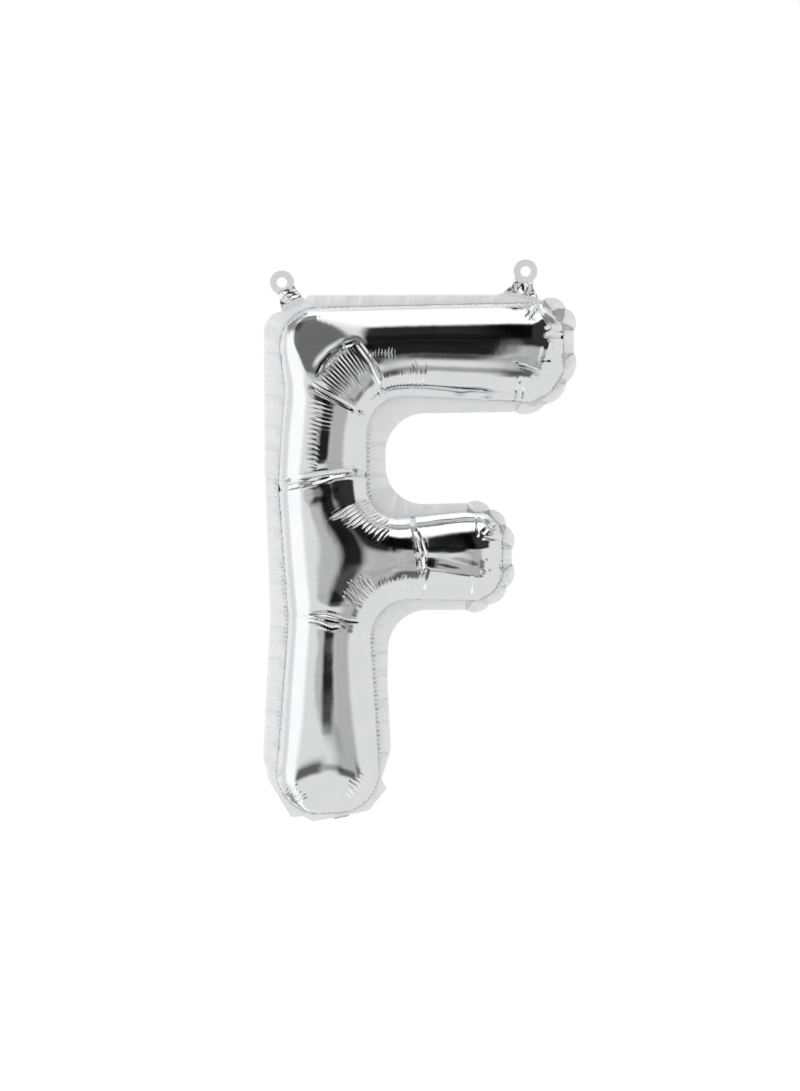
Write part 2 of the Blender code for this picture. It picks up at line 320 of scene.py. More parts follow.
# Where the sealed film is crushed or nicked it is drawn taut again: there the finish turns into a mirror.
for material in (sealed_silver, tab_silver):
    nodes, links = material.node_tree.nodes, material.node_tree.links
    crush = nodes.new("ShaderNodeAttribute")
    crush.attribute_name = "crush"
    for socket, taut in (("Roughness", 0.09), ("Metallic", 1.0)):
        mix = nodes.new("ShaderNodeMix")
        given = nodes["Principled BSDF"].inputs[socket]
        if given.is_linked:
            links.new(given.links[0].from_socket, mix.inputs["A"])
        else:
            mix.inputs["A"].default_value = given.default_value
        mix.inputs["B"].default_value = taut
        links.new(crush.outputs["Fac"], mix.inputs["Factor"])
        links.new(mix.outputs["Result"], given)


# Front and back films
# Each film is a flat sheet wider than the letter. Air draws its rim in along the weld line and swells it into
# a tube, which gathers round the ends and buckles where the stem and the arms meet.
FILM_STEP = 2.2 * MM
SPARE_FILM = 14.5 * MM  # how far the flat film reaches past the weld line on each side
RIM_SOFTENING = 12  # rounds in which the flat film's corners are rounded
SEAM_GAP = 0.25 * MM  # each film's rim stands this far from the seam's plane
SIM_SCALE = 10  # the film is filled at ten times life size, where cloth behaves best
SIM_FRAMES = 24
DRAWN_BY = 12  # the frame at which the rim has come in to the weld line
START_HOLLOW = 0.03  # the flat film starts a little hollow, so that it all swells one way
TAUT_FROM = 1.5 * MM  # from this far inside its rim the film begins to lie taut
TAUT_AT = 12 * MM
CALM_SHARE = 0.5
CALM_ROUNDS = 60  # smoothing after the filling, and again once it is evened
SETTLE_ROUNDS = 12
DEPTH_GAIN = 1.1
EVENNESS = 0.9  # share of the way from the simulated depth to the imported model's
RAY_START = -0.2
HELD_BACK = 0.8  # share of the bulge past the weld line that the margin takes away

weld_plain, weld_places = outline(WELD_LINE, 0.0)
weld_lobed, _ = outline(WELD_LINE, WELD_LOBE)
flat_rim = weld_plain + outward(weld_plain) * SPARE_FILM
for _ in range(RIM_SOFTENING):
    flat_rim = np.roll(flat_rim, 1, 0) / 4 + flat_rim / 2 + np.roll(flat_rim, -1, 0) / 4
rim_count = round(length_of(flat_rim) / FILM_STEP)
film_weld = resampled(weld_lobed, flat_rim, rim_count)
film_rim = resampled(flat_rim, flat_rim, rim_count)


def blown_film(bm):
    """Fills the flat front film and leaves its rim on the weld line."""
    flat = coordinates(bm)
    on_rim, reach = nearest(flat[:, ::2], film_rim)
    held = reach < TOUCHING
    start = flat.copy()
    start[:, 1] = -START_HOLLOW * reach
    drawn = start.copy()
    drawn[held, 0], drawn[held, 2] = film_weld[on_rim[held]].T
    set_coordinates(bm, start * SIM_SCALE)
    mesh = bpy.data.meshes.new("film")
    bm.to_mesh(mesh)
    film = bpy.data.objects.new("film", mesh)
    bpy.context.scene.collection.objects.link(film)
    film.shape_key_add(name="flat")
    key = film.shape_key_add(name="drawn")
    key.data.foreach_set("co", (drawn * SIM_SCALE).ravel())
    weld = film.vertex_groups.new(name="weld")
    weld.add([int(k) for k in np.nonzero(held)[0]], 1.0, "REPLACE")
    scene = bpy.context.scene
    scene.frame_start, scene.frame_end = 1, SIM_FRAMES
    cloth = film.modifiers.new("filling", "CLOTH")
    cloth.point_cache.frame_start, cloth.point_cache.frame_end = 1, SIM_FRAMES
    cloth.collision_settings.use_collision = False
    settings = cloth.settings
    settings.vertex_group_mass = "weld"
    settings.quality = 6
    settings.mass = 0.015
    settings.air_damping = 1.0
    settings.tension_stiffness = 80
    settings.compression_stiffness = 5
    settings.shear_stiffness = 10
    settings.bending_stiffness = 0.02
    settings.tension_damping = settings.compression_damping = settings.shear_damping = 5
    settings.bending_damping = 1.0
    settings.effector_weights.gravity = 0
    settings.use_pressure = True
    settings.uniform_pressure_force = 15
    for value, at in ((0.0, 1), (1.0, DRAWN_BY)):
        key.value = value
        key.keyframe_insert("value", frame=at)
    for curve in film.data.shape_keys.animation_data.action.fcurves:
        for point in curve.keyframe_points:
            point.interpolation = "LINEAR"
    for number in range(1, SIM_FRAMES + 1):
        scene.frame_set(number)
    filled = film.evaluated_get(bpy.context.evaluated_depsgraph_get()).data
    places = np.empty(len(filled.vertices) * 3)
    filled.vertices.foreach_get("co", places)
    set_coordinates(bm, places.reshape(-1, 3) / SIM_SCALE)
    bpy.data.objects.remove(film)
    scene.frame_set(1)


def calmed(bm, places, share, rounds):
    """Places drawn towards their neighbours' mean, by each point's own share, where the film lies taut."""
    ends = np.array([(edge.verts[0].index, edge.verts[1].index) for edge in bm.edges])
    pairs = np.concatenate([ends, ends[:, ::-1]])
    count = np.bincount(pairs[:, 0], minlength=len(places))
    for _ in range(rounds):
        mean = np.stack([np.bincount(pairs[:, 0], places[pairs[:, 1], k], len(places)) for k in range(3)], 1)
        places = places + (mean / count[:, None] - places) * share[:, None]
    return places


def smooth_step(values, low, high):
    share = np.clip((values - low) / (high - low), 0, 1)
    return share * share * (3 - 2 * share)


film_bm = cut_foil([film_rim], FILM_STEP)
film_bm.verts.index_update()
film_flat = coordinates(film_bm)[:, ::2]
blown_film(film_bm)
film_places = coordinates(film_bm)
film_reach = nearest(film_flat, film_rim)[1]
film_taut = smooth_step(film_reach, TAUT_FROM, TAUT_AT)
film_places = calmed(film_bm, film_places, CALM_SHARE * film_taut, CALM_ROUNDS)
film_places[:, 1] *= DEPTH_GAIN

# Air spreads its push evenly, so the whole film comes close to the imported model's even swelling.
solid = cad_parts["front_film"].data
swelling = BVHTree.FromPolygons([v.co for v in solid.vertices], [list(p.vertices) for p in solid.polygons])
for k, place in enumerate(film_places):
    hit = swelling.ray_cast((place[0], RAY_START, place[2]), (0, 1, 0))[0]
    if hit is not None:
        film_places[k, 1] += (hit.y - place[1]) * EVENNESS * film_taut[k]
film_places = calmed(film_bm, film_places, CALM_SHARE * film_taut, SETTLE_ROUNDS)

# The film hardly bulges past its weld line: the stiff margin holds it back.
weld_outward = outward(film_weld)
beside = nearest(film_places[:, ::2], film_weld)[0]
over = ((film_places[:, ::2] - film_weld[beside]) * weld_outward[beside]).sum(1)
film_places[:, ::2] -= weld_outward[beside] * (np.maximum(over, 0) * HELD_BACK)[:, None]

# A fold line is pressed in where the filled film buckles. Its row gives the points that it runs through, and
# the depth and half width of its sharp valley in mm. Where a wide waist lies along it, the share of the
# letter's depth lost there (or gained, if negative) and the waist's half width in mm follow.
FRONT_FOLDS = [
    ([(-90.3, -146.3), (-84.9, -142.9), (-72, -138.1), (-52.2, -135.4), (-36.6, -133), (-14.8, -136.1)],
     1.5, 1.6, 0.05, 6),
    ([(-90.3, -146.3), (-72, -142.9), (-62.1, -140.2), (-46.1, -136.8)], 0.9, 1.1),
    ([(-74, -229), (-24, -238)], 0, 1, -0.065, 4),
    ([(-62, -223), (-30, -226)], 0, 1, -0.022, 7),
    ([(-96, -147), (-16, -133)], 0, 1, -0.05, 4),
    ([(-72.6, -232), (-62.1, -230), (-52.2, -229), (-36.6, -233.4), (-27, -234.1)], 0.8, 0.9),
    ([(-72.6, -232), (-58.4, -234.5), (-48.8, -238.2), (-41.3, -237.5)], 0.6, 0.8),
    ([(-68, -231.4), (-53.6, -232), (-41.3, -234.5)], 0.6, 0.9),
    ([(5.3, -156.1), (6.6, -170.7), (9, -181.7), (12, -192.6), (12.6, -202.3)], 1.2, 1.2, 0.02, 5),
    ([(8.3, -170.8), (13.8, -187.8), (13.1, -192.6)], 0.8, 1),
    ([(15.8, -197.3), (11.7, -217.1), (8.3, -221.8)], 0.5, 1.2),
    ([(-33.2, -47), (-23.6, -60.6), (-17.5, -73.5), (-10, -87.4)], 1, 1.1, 0.03, 4),
    ([(-30.5, -46.2), (-20.6, -59.8), (-14.3, -71.5)], 0.5, 0.9),
    ([(-64.5, -74.9), (-52.2, -81), (-36.6, -89.1), (-22.3, -98.4)], 0.9, 1.1, 0.03, 4),
    ([(-64.5, -72.9), (-50.2, -82.5), (-33.6, -93.1)], 0.5, 0.9),
    ([(-59.7, -70.1), (-55, -60.6), (-48.8, -53.8), (-41.3, -49), (-31.8, -46.3)], 0.35, 0.9, 0.012, 4),
    ([(91, -17.5), (86, -24), (82, -29.5)], 0.9, 1),
    ([(93.5, -20), (88.5, -26), (84.5, -31)], 0.7, 0.9),
    ([(112, -41.5), (104, -40.4), (96, -40.9)], 1.3, 1.2, 0.03, 4),
    ([(110, -37.5), (104, -37.6), (98, -39)], 0.7, 0.8),
    ([(89, -20.5), (93, -28), (97.5, -36.8)], -0.5, 1.4),
    ([(98.2, -43.5), (96, -54), (92, -63.3)], -0.5, 1.4),
    ([(74, -60.5), (81, -61.5), (90, -65), (97, -70.5), (100.5, -75.5)], 0.5, 0.9, 0.01, 5),
    ([(74.5, -86), (75, -77), (79, -70)], 0.7, 1),
    ([(-4, -185), (64, -185)], 0, 1, -0.022, 4.2),
    ([(36, -186), (62, -183)], 0, 1, -0.02, 4),
    ([(-4, -191.5), (18, -191.5), (31.5, -194.1), (45, -196.8), (60, -199.5)], 0, 1, 0.016, 3.5),
    ([(-4, -198), (18, -198.1), (31.5, -200.8), (45, -203.5), (60, -206.5)], 0, 1, -0.016, 3.5),
    ([(16, -191.3), (45, -196.8), (62, -199.8)], 0, 1, 0.011, 3.8),
    ([(30, -193.9), (45, -196.8), (62, -199.8)], 0, 1, 0.011, 3.8),
    ([(16, -197.9), (45, -203.5), (62, -206.8)], 0, 1, -0.011, 3.8),
    ([(30, -200.5), (45, -203.5), (62, -206.8)], 0, 1, -0.011, 3.8),
    ([(-76, -335), (-30, -335)], 0, 1, 0.09, 30),
    ([(57.5, -168.5), (62, -176), (67, -181.5)], 0.35, 0.9),
    ([(67, -192.5), (60, -192.5), (54, -190.5)], 0.5, 1.1),
    ([(63, -208), (57, -203), (52, -199.5)], 0.4, 1),
]
BACK_FOLDS = [
    ([(-88, -118), (-60, -112), (-20, -118)], 1.4, 1.6, 0.09, 8),
    ([(-76, -246), (-52, -251), (-24, -246)], 1.1, 1.3, 0.06, 7),
    ([(2, -156), (0, -185), (4, -222)], 1.2, 1.4, 0.09, 9),
    ([(-66, -64), (-50, -54), (-30, -48)], 0.8, 1.5, 0.04, 6),
    ([(-30, -48), (-20, -66), (-12, -88)], 1, 1.2, 0.05, 5),
    ([(30, -26), (34, -52), (28, -80)], 0.7, 1.2, 0.05, 7),
]

# Gathers are rows of fine folds side by side: the ends of the line they start from, the ends of the line they
# run to, how far that first line bows out, all in mm, then how many there are and how high.
FRONT_GATHERS = [
    ((-59.7, -70.1), (-31.8, -46.3), (-36.6, -89.1), (-18.9, -71.5), 6, 13, 0.62),
    ((-67.5, -84), (-66.5, -137), (-55, -88), (-56.5, -138), 0, 15, 0.22),
    ((-66.5, -82), (-66, -104), (-40, -90), (-42, -108), 0, 7, 0.20),
    ((-54, -163.5), (-15.5, -182), (-28.4, -150.4), (-5, -167.5), 0, 12, 0.85),
    ((-45, -213.5), (-25, -199.5), (-31.1, -226.5), (-13.4, -219), 0, 8, 0.75),
    ((-20, -202), (4.9, -202.1), (-14, -215), (4.9, -214.4), 0, 8, 0.42),
    ((-25, -49.5), (-5, -49.5), (-25, -57), (-5, -57), 0, 9, 0.24),
    ((-17.3, -67), (14.3, -67), (-17.3, -82), (14.3, -82), 0, 14, 0.22),
    ((4, -58), (15.5, -58), (4, -82), (15.5, -82), 0, 4, 0.50),
    ((77.6, -71.5), (90.5, -71.5), (77.6, -81), (90.5, -81), 0, 6, 0.30),
    ((-82.2, -347.8), (-70.5, -359.3), (-76, -341), (-61, -353), 0, 6, 0.85),
    ((-34.5, -356), (-20.9, -341), (-43, -348), (-29, -333), 0, 6, 0.85),
]
BACK_GATHERS = [
    ((-59.7, -70.1), (-31.8, -46.3), (-36.6, -89.1), (-18.9, -71.5), 6, 14, 0.28),
    ((-50, -161), (-12, -182), (-28.4, -150.4), (-6, -168.8), 0, 11, 0.36),
    ((-46.1, -213), (-21.6, -198), (-17.5, -223.9), (2.9, -213), 0, 12, 0.28),
    ((-66, -120), (-66, -150), (-38, -120), (-38, -150), 0, 8, 0.16),
]
SHARP_GATHER = 0.4  # gathers at least this high, in mm, get the finest mesh
MESH_PAST_FOLD = 2.6  # finer mesh reaches this many half widths to each side of a fold
SEARCH_ROUNDS = 8
ROW_STRENGTH = (0.35, 1.0)  # share of the row's height that each of its folds takes
ROW_BEGIN = (-0.02, 0.3)  # where along the row each begins and ends
ROW_END = (0.7, 1.02)
ROW_WANDER = 0.25  # how far the row strays sideways, in folds
ROW_SHAPE = 0.8  # power of a fold's profile
ROW_MEAN = 0.55  # keeps the row level with the film
LIP_HEIGHT = 0.35  # share of its depth that the film stands up beside a valley
LIP_AT = 1.9  # in half widths

# The film is drawn into small pleats all along the weld line, and into longer ones from the arms' ends.
PLEAT_STEP = 4.4 * MM
PLEAT_HEIGHT = 0.8 * MM
PLEAT_REACH = 5.0 * MM
PLEAT_SHAPE = 0.7
PLEAT_MEAN = 0.6
END_PLEAT_RUN = (15.0, 11.0, 17.0, 13.0)
END_PLEAT_APART = 4
END_PLEAT = (0.5, 1.0, 0.02, 5.0)


def distance_to(points, line):
    """Distance of each point from a line through the given points, and its place along it from 0 to 1."""
    line = np.array(line) * MM
    lengths = np.linalg.norm(np.diff(line, axis=0), axis=1)
    before = np.concatenate([[0], np.cumsum(lengths)])
    reach, place = np.full(len(points), np.inf), np.zeros(len(points))
    for a, run, length, so_far in zip(line, np.diff(line, axis=0), lengths, before):
        share = np.clip((points - a) @ run / length ** 2, 0, 1)
        here = np.linalg.norm(points - a - share[:, None] * run, axis=1)
        place = np.where(here < reach, (so_far + share * length) / before[-1], place)
        reach = np.minimum(reach, here)
    return reach, place


def patch_places(points, gather):
    """Each point's place across a row of gathers and along them, each from 0 to 1 inside the row."""
    a0, a1, b0, b1 = (np.array(corner) * MM for corner in gather[:4])
    run = a1 - a0
    side = np.array([-run[1], run[0]]) / np.linalg.norm(run)
    bow = side * gather[4] * MM * (-1 if side @ (b0 + b1 - a0 - a1) > 0 else 1)
    middle = (a0 + a1 + b0 + b1) / 4
    size = max(np.linalg.norm(corner - middle) for corner in (a0, a1, b0, b1)) * 1.3
    close = np.linalg.norm(points - middle, axis=1) < size
    near = points[close]
    t, v = np.full(len(near), 0.5), np.full(len(near), 0.5)
    for _ in range(SEARCH_ROUNDS):
        tc = np.clip(t, -0.5, 1.5)[:, None]
        vc = np.clip(v, -0.5, 1.5)[:, None]
        a = a0 + run * tc + bow * 4 * tc * (1 - tc)
        b = b0 + (b1 - b0) * tc
        off = near - (a + (b - a) * vc)
        dt = (1 - vc) * (run + bow * 4 * (1 - 2 * tc)) + vc * (b1 - b0)
        dv = b - a
        det = dt[:, 0] * dv[:, 1] - dt[:, 1] * dv[:, 0]
        det = np.where(np.abs(det) < 1e-9, 1e-9, det)
        t = tc[:, 0] + (off[:, 0] * dv[:, 1] - off[:, 1] * dv[:, 0]) / det
        v = vc[:, 0] + (dt[:, 0] * off[:, 1] - dt[:, 1] * off[:, 0]) / det
    across, along = np.full(len(points), -1.0), np.full(len(points), -1.0)
    across[close], along[close] = t, v
    return across, along


def gathered(across, along, count, height, seed):
    """Height of a row of fine folds, each with its own strength and its own ends."""
    rng = np.random.default_rng(seed)
    strength = rng.uniform(*ROW_STRENGTH, count + 2)
    begins, ends = rng.uniform(*ROW_BEGIN, count + 2), rng.uniform(*ROW_END, count + 2)
    bend, shift = rng.uniform(-ROW_WANDER, ROW_WANDER, 2)
    inside_row = (across > -0.1) & (across < 1.1) & (along > -0.1) & (along < 1.1)
    u = across * count + bend * np.sin(7 * along + 2 * across) + shift
    k = np.clip(np.floor(u).astype(int), -1, count) + 1
    profile = np.abs(np.sin(math.pi * (u % 1))) ** ROW_SHAPE - ROW_MEAN
    window = smooth_step(along, begins[k] - 0.1, begins[k] + 0.15)
    window *= 1 - smooth_step(along, ends[k] - 0.2, ends[k] + 0.1)
    window *= smooth_step(across, -0.03, 0.08) * (1 - smooth_step(across, 0.92, 1.03))
    return np.where(inside_row, height * MM * strength[k] * profile * window, 0.0)


def refined(bm, wanted):
    """Halves the edges of a film where fine folds come."""
    places = coordinates(bm)
    mask = wanted(places[:, ::2])
    bm.verts.index_update()
    edges = [edge for edge in bm.edges if mask[edge.verts[0].index] and mask[edge.verts[1].index]]
    bmesh.ops.subdivide_edges(bm, edges=edges, cuts=1, use_grid_fill=True)


def film_piece(name, facing, material, folds, gathers, seed):
    """One film of the letter. Facing is -1 in front and 1 behind."""
    bm = film_bm.copy()
    places = film_places.copy()
    for line, _, _, loss, half in (row for row in folds if len(row) > 3):
        reach, share = distance_to(places[:, ::2], line)
        fade = smooth_step(share, -0.3, 0.2) * (1 - smooth_step(share, 0.8, 1.3))
        places[:, 1] *= 1 - loss * fade * np.exp(-((reach / (half * MM)) ** 2))
    places[:, 1] = np.minimum(places[:, 1], 0) - SEAM_GAP
    set_coordinates(bm, places)
    layers = [bm.verts.layers.float.new(axis) for axis in ("flat_x", "flat_z")]
    for vert, flat in zip(bm.verts, film_flat):
        vert[layers[0]], vert[layers[1]] = flat
    rough = object_of(bm, name, material)
    rounder = rough.modifiers.new("rounder", "SUBSURF")
    rounder.levels = rounder.render_levels = 1
    rounded = bpy.data.meshes.new_from_object(rough.evaluated_get(bpy.context.evaluated_depsgraph_get()))
    bpy.data.objects.remove(rough)
    bm = bmesh.new()
    bm.from_mesh(rounded)

    def near_folds(points):
        wanted = np.zeros(len(points), bool)
        for line, _, half, *_ in folds:
            wanted |= distance_to(points, line)[0] < MESH_PAST_FOLD * half * MM
        return wanted | near_gathers(points)

    def near_gathers(points, lowest=0.0):
        wanted = np.zeros(len(points), bool)
        for gather in gathers:
            if gather[6] < lowest:
                continue
            across, along = patch_places(points, gather)
            wanted |= (across > -0.08) & (across < 1.08) & (along > -0.12) & (along < 1.12)
        return wanted

    refined(bm, near_folds)
    refined(bm, lambda points: near_gathers(points, SHARP_GATHER))
    bm.normal_update()
    places = coordinates(bm)
    normals = np.array([vert.normal for vert in bm.verts])
    layers = [bm.verts.layers.float[axis] for axis in ("flat_x", "flat_z")]
    flat = np.array([[vert[layers[0]], vert[layers[1]]] for vert in bm.verts])
    points = places[:, ::2]
    rise = np.zeros(len(points))
    for line, depth, half, *_ in folds:
        reach, share = distance_to(points, line)
        fade = smooth_step(share, -0.02, 0.15) * (1 - smooth_step(share, 0.85, 1.02))
        widths = reach / (half * MM)
        rise += depth * MM * fade * (LIP_HEIGHT * np.exp(-((widths - LIP_AT) ** 2) * 2) - np.exp(-widths))
    for k, gather in enumerate(gathers):
        across, along = patch_places(points, gather)
        rise += gathered(across, along, gather[5], gather[6], seed + k)
    index, reach = nearest(flat, film_rim)
    rise += seam_pleats(index, reach, seed)
    set_coordinates(bm, places + normals * rise[:, None])
    if facing > 0:
        bmesh.ops.scale(bm, vec=(1, -1, 1), verts=bm.verts)
        bmesh.ops.reverse_faces(bm, faces=bm.faces)
    piece = object_of(bm, name, material)
    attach(piece, "envelope")
    return piece


def seam_pleats(index, reach, seed):
    """Height of the small pleats along the weld line, each with its own strength."""
    rng = np.random.default_rng(seed + 100)
    at = index * FILM_STEP
    total = len(film_rim) * FILM_STEP
    count = round(total / PLEAT_STEP)
    rng.random(count + 1)  # passed over: the strengths that suit the letter are the next draws
    strength = rng.uniform(0.15, 1.0, count + 1) * (0.55 + 0.45 * np.sin(np.arange(count + 1) * 0.21 + seed))
    u = at / total * count
    k = np.clip(np.floor(u).astype(int), 0, count)
    profile = np.abs(np.sin(math.pi * (u % 1))) ** PLEAT_SHAPE - PLEAT_MEAN
    height = PLEAT_HEIGHT * strength[k] * profile
    return height * np.exp(-reach / PLEAT_REACH) * smooth_step(reach, 0, 0.8 * MM)


# From each notch between two lobes of the weld line at an arm's end a pleat runs into the film.
end_pleats = []
weld_inward = -outward(weld_lobed)
for k in np.nonzero((weld_places >= 0) & ((weld_places < 0.02) | (weld_places > 0.98)))[0]:
    notch = weld_lobed[k] / MM
    if notch[0] < 0 or end_pleats and np.hypot(*(notch - end_pleats[-1][0][0])) < END_PLEAT_APART:
        continue
    far = END_PLEAT_RUN[len(end_pleats) % len(END_PLEAT_RUN)]
    run = [notch + weld_inward[k] * reach for reach in (0.0, 6.0, far)]
    end_pleats.append((run, *END_PLEAT))

front = film_piece("front_foil", -1, front_silver, FRONT_FOLDS + end_pleats, FRONT_GATHERS, 11)
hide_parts("front_film")
back = film_piece("back_foil", 1, back_silver, BACK_FOLDS + end_pleats, BACK_GATHERS, 31)
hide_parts("back_film")

# Seam margin
# Outside the weld line both films are pressed flat together and cut off a few millimetres out. The filling
# film pulls this rim a little back, into slow waves, dimples beside the weld, and petals at each end.
FOLD_GAP = 0.8 * MM
LEFT_EDGE = [(-95.4, -26, 14, 0)]
TOP_EDGE = [(-64.5, -12, 4, 0), (63.5, -11.6, 4, 0)]
RIGHT_EDGE = [
    (115.9, -15.5, 21, 2),
    (115.9, -91.2, 40, 3),
    (-12.4, -92.9, 27, 0),
    (-12.4, -155.2, 26, 0),
    (41, -153.8, 0, 0),
    (73.7, -154.5, 31, 3),
    (73.7, -226.6, 31, 3),
    (-10, -226.6, 27, 0),
    (-11.1, -274, 60, 0),
    (-8.7, -320.5, 10, 0),
    (-14.8, -341.6, 0, 0),
    (-11.4, -348.4, 0, 0),
    (-23.6, -363.4, 6, 0),
]
LOWER_LEFT_EDGE = [
    (-61.8, -371, 4, 0),
    (-68.6, -367.2, 0, 0),
    (-76.7, -368.2, 0, 0),
    (-92.6, -342, 12, 0),
    (-93.7, -334.1, 0, 0),
    (-95.8, -326.6, 8, 0),
    (-91, -230, 90, 0),
    (-94.6, -130, 90, 0),
]
MARGIN_LOBE = 2.4 * MM
MARGIN_STEP = 0.8 * MM
MARGIN_WALL = 0.3 * MM
MARGIN_LEAN = 0.162  # how far back the margin lies at 1 mm from the weld, in mm
MARGIN_BOW = 1.2  # the power by which that grows with the distance
MARGIN_WAVE = 0.25 * MM
MARGIN_WAVES = ((11.3, 0.4, 0.5), (17.9, 2.1, 0.8), (5.3, 4.0, 0.25), (3.1, 1.0, 0.12))  # mm, phase, share
PETAL_TILT = 1.5 * MM
PETAL_PILLOW = 1.1 * MM
PETAL_SHAPE = 0.6
PETAL_MEAN = 0.3
NOTCH_DEPTH = 0.4 * MM
NOTCH_WIDTH = 0.03  # as a share of a petal
DOT_REACH = 1.4 * MM
DOT_RADIUS = 0.8 * MM
DOT_DEPTH = 0.45 * MM
DOT_STEP = 3.0 * MM
NOTCH_CRUSH = 0.5
DOT_CRUSH = 0.8

# The tabs fold from the top edge. For each: the middle of its fold line in mm and its lean in degrees, then
# its half widths at the fold and at the neck and the height of its hole, in mm.
TABS = {
    "left": (-75.4, -18.7, -26.6, 8.6, 6.9, 16.7),
    "right": (79.8, -12.2, 10.8, 12.0, 7.2, 16.3),
}


def fold_frame(x, z, lean):
    """Matrix of a fold line: local X along the line, local Y away from the letter, local Z to the front."""
    lean = math.radians(lean)
    along = Vector((math.cos(lean), 0, -math.sin(lean)))
    away = Vector((math.sin(lean), 0, math.cos(lean)))
    fold = Matrix((along, away, along.cross(away))).transposed().to_4x4()
    fold.translation = Vector((x, 0, z)) * MM
    return fold


def foot(side):
    """The straight stretch of the margin's edge that a tab folds from, as two corners of its outline."""
    x, z, lean, half, *_ = TABS[side]
    fold = fold_frame(x, z, lean)
    ends = [fold @ Vector((end * (half + 0.5) * MM, -FOLD_GAP / 2, 0)) for end in (-1, 1)]
    return [(end.x / MM, end.z / MM, 0, 0) for end in ends]


def thickened(bm, wall):
    """Gives a sheet its wall, half to each side."""
    bm.normal_update()
    bmesh.ops.translate(bm, verts=bm.verts, vec=(0, -wall / 2, 0))
    bmesh.ops.solidify(bm, geom=list(bm.faces), thickness=wall)
    bmesh.ops.recalc_face_normals(bm, faces=bm.faces)


margin_table = [*LEFT_EDGE, *foot("left"), *TOP_EDGE, *foot("right"), *RIGHT_EDGE, *LOWER_LEFT_EDGE]
cut_edge, edge_places = outline(margin_table, MARGIN_LOBE)
bm = cut_foil([cut_edge, weld_lobed], MARGIN_STEP)
places = coordinates(bm)
from_weld, reach = nearest(places[:, ::2], weld_lobed)
to_edge, _ = nearest(places[:, ::2], cut_edge)
along_weld = from_weld * LINE_STEP
petal = edge_places[to_edge]
waves = sum(np.sin(along_weld * 2 * math.pi / (length * MM) + phase) * share
            for length, phase, share in MARGIN_WAVES)
ramp = smooth_step(reach, 0, 5 * MM)
places[:, 1] = MARGIN_LEAN * MM * (reach / MM) ** MARGIN_BOW + MARGIN_WAVE * waves * ramp
places[:, 1] += np.where(petal >= 0, PETAL_TILT * (petal - 0.5), 0) * ramp
pillow = PETAL_PILLOW * (np.abs(np.sin(math.pi * petal)) ** PETAL_SHAPE - PETAL_MEAN)
places[:, 1] -= np.where(petal >= 0, pillow, 0) * ramp
notch = np.where(petal >= 0, np.exp(-(np.minimum(petal, 1 - petal) / NOTCH_WIDTH) ** 2), 0)
places[:, 1] += NOTCH_DEPTH * notch * ramp

# The dimples come in stretches along the stem, unbroken at the right of its lower half, and none at its foot.
dots = np.exp(-((reach - DOT_REACH) / DOT_RADIUS) ** 2)
dots *= smooth_step(np.sin(along_weld * 2 * math.pi / DOT_STEP), 0.1, 0.9)
drawn = smooth_step(np.sin(along_weld / (31 * MM) + 0.8) + np.sin(along_weld / (13 * MM)), -0.6, 0.6)
inner = smooth_step(places[:, 0], -42 * MM, -36 * MM) * smooth_step(-places[:, 2], 236 * MM, 244 * MM)
dots *= np.maximum(drawn, inner) * (petal < 0)
dots *= smooth_step(-places[:, 0], 9 * MM, 14 * MM) * smooth_step(-places[:, 2], 100 * MM, 112 * MM)
dots *= smooth_step(places[:, 2], -332 * MM, -320 * MM)
places[:, 1] += DOT_DEPTH * dots
set_coordinates(bm, places)
layer = bm.verts.layers.float.new("crush")
for vert, share in zip(bm.verts, NOTCH_CRUSH * notch + DOT_CRUSH * dots):
    vert[layer] = share
thickened(bm, MARGIN_WALL)
margin = object_of(bm, "margin_foil", sealed_silver)
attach(margin, "envelope")
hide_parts("seam_margin")

# Hanging tabs
# A flap of the sealed film with a punched hole stands at each top corner. It is creased and crushed at its
# neck, where it folds on the margin and takes the pull of the thread.
HOLE_RADIUS = 3.5 * MM
HEAD_RADIUS = 8.2 * MM
HEAD_START = 220.0
HEAD_SWEEP = 260.0
TAB_NECK = 6.5 * MM
TAB_STEP = 0.5 * MM
TAB_ROOT = 1.6 * MM  # the tab reaches this far onto the margin
TAB_WALL = 0.4 * MM
HOLE_LIP = 0.12 * MM  # height and width of the punched hole's raised edge
HOLE_LIP_WIDTH = 0.5 * MM
TAB_CUP = 0.5 * MM

# Each neck is crushed into facets by a few rows of flat folds, which cross each other: the way that a row
# counts, in degrees, its period, shift and height in mm. Last come the heights between which they lie, in mm.
TAB_FOLDS = {
    "left": ([(31, 9.6, 2.2, 1.7), (112, 7.4, 3.0, 1.2), (70, 3.1, 0.4, 0.2)], 2.5, 11.5),
    "right": ([(-20, 9.8, 3.4, 1.6), (58, 7.6, 0.9, 1.3), (15, 3.3, 0.8, 0.2)], 0.8, 8.5),
}


def ring(radius, height, start=0.0, sweep=360.0, step=TAB_STEP):
    """Points of an arc round a point at this height above the fold, clockwise from start."""
    count = round(math.radians(sweep) * radius / step)
    steps = count if sweep == 360.0 else count + 1
    angles = [math.radians(start - sweep * k / count) for k in range(steps)]
    return [(radius * math.cos(angle), height + radius * math.sin(angle)) for angle in angles]


def stepped(corners, step):
    """An open line through corners with points at about one step."""
    line = []
    for a, b in zip(corners, corners[1:]):
        count = max(1, round(math.dist(a, b) / step))
        line += [(a[0] + (b[0] - a[0]) * k / count, a[1] + (b[1] - a[1]) * k / count) for k in range(count)]
    return line


